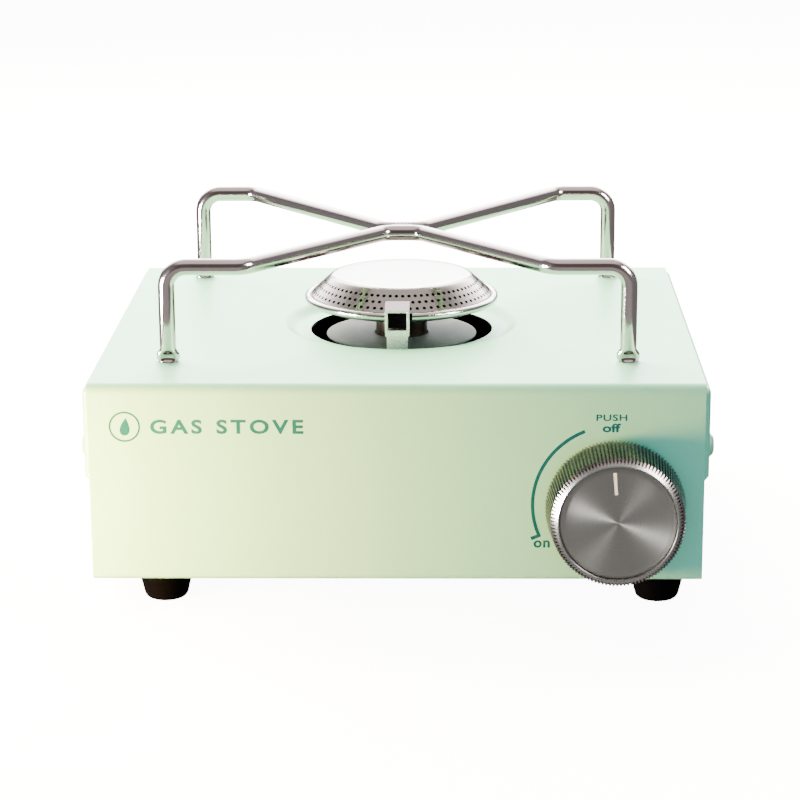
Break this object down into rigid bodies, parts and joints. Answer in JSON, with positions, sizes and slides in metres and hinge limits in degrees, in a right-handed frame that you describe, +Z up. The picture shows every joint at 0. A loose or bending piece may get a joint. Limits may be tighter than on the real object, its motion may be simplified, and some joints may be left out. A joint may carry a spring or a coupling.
{
  "type": "camping stove",
  "caption": "Compact tabletop gas camping stove: sheet-metal box with a central ring burner, lift-off bent-wire pan support and a push-and-turn ignition knob.",
  "frame": {"origin": "on the table, under the middle of the whole stove's outer box", "axes": "+X to the right of someone facing the knob, +Y from the knob side to the back, +Z up"},
  "size_m": [0.189, 0.18, 0.1005],
  "materials": {
    "powder_coat": "fine satin powder coat",
    "zinc_plated_steel": "satin zinc plate",
    "satin_steel": "satin",
    "black_rubber": "matte",
    "polished_stainless": "polished",
    "die_cast_aluminium": "as cast",
    "brushed_aluminium": "spun and brushed",
    "black_plastic": "moulded",
    "brass": "turned",
    "white_ceramic": "glazed",
    "ferrite_magnet": "sintered, sealed",
    "silicone_cable": "smooth"
  },
  "bodies": {
    "body_shell": {"top_cover": "powder_coat", "base_pan": "zinc_plated_steel", "left_side_panel": "powder_coat", "right_side_panel": "powder_coat", "rear_panel": "powder_coat", "foot_front_left": "black_rubber", "foot_front_right": "black_rubber", "foot_rear_left": "black_rubber", "foot_rear_right": "black_rubber", "foot_screw_front_left": "zinc_plated_steel", "foot_screw_front_right": "zinc_plated_steel", "foot_screw_rear_left": "zinc_plated_steel", "foot_screw_rear_right": "zinc_plated_steel", "side_stud_left_front": "zinc_plated_steel", "side_stud_left_rear": "zinc_plated_steel", "side_stud_right_front": "zinc_plated_steel", "side_stud_right_rear": "zinc_plated_steel", "rear_screw_lower_left": "zinc_plated_steel", "rear_screw_lower_right": "zinc_plated_steel", "rear_screw_upper_left": "zinc_plated_steel", "rear_screw_upper_right": "zinc_plated_steel", "burner_screw_1": "zinc_plated_steel", "burner_screw_2": "zinc_plated_steel", "leg_guide_front_left": "zinc_plated_steel", "leg_guide_front_right": "zinc_plated_steel", "leg_guide_rear_left": "zinc_plated_steel", "leg_guide_rear_right": "zinc_plated_steel", "burner_head": "polished_stainless", "burner_bowl": "polished_stainless", "reflector_plate": "satin_steel", "mixing_tube": "die_cast_aluminium", "burner_bracket": "zinc_plated_steel", "electrode_shield": "polished_stainless", "electrode_insulator": "white_ceramic", "electrode_tip": "polished_stainless", "ignition_lead": "silicone_cable", "igniter_body": "black_plastic", "valve_body": "brass", "valve_bracket": "zinc_plated_steel", "gas_pipe": "brass", "jet_nozzle": "brass", "return_spring": "zinc_plated_steel", "regulator_body": "die_cast_aluminium", "regulator_cap": "die_cast_aluminium", "regulator_bracket": "zinc_plated_steel", "magnet_ring": "ferrite_magnet", "cartridge_nozzle": "brass", "nozzle_seal": "black_rubber", "cartridge_locator": "zinc_plated_steel", "supply_pipe": "brass"},
    "push_stage": {"thrust_collar": "zinc_plated_steel"},
    "knob": {"knob_shell": "brushed_aluminium", "knob_face": "brushed_aluminium", "knob_hub": "black_plastic", "spindle": "brass", "ignition_cam": "black_plastic"},
    "igniter_hammer": {"igniter_plunger": "brass"},
    "pan_support": {"front_wire": "polished_stainless", "rear_wire": "polished_stainless"}
  },
  "joints": [
    {"name": "support_lift", "type": "slide", "parent": "body_shell", "child": "pan_support", "axis": [0, 0, 1], "range_m": [0, 0.035]},
    {"name": "knob_push", "type": "slide", "parent": "body_shell", "child": "push_stage", "axis": [0, 1, 0], "range_m": [0, 0.0022], "stiffness_N_per_m": 1500, "springref_m": -0.002, "deforming": ["return_spring"]},
    {"name": "knob_turn", "type": "hinge", "parent": "push_stage", "child": "knob", "pos_m": [0.0643, -0.07155, 0.0326], "axis": [0, -1, 0], "range_deg": [0, 115]},
    {"name": "igniter_stroke", "type": "slide", "parent": "body_shell", "child": "igniter_hammer", "axis": [-1, 0, 0], "range_m": [0, 0.004]}
  ],
  "couplings": [
    {"joint": "igniter_stroke", "follows": "knob_turn", "m_per_rad": 0.001992}
  ]
}
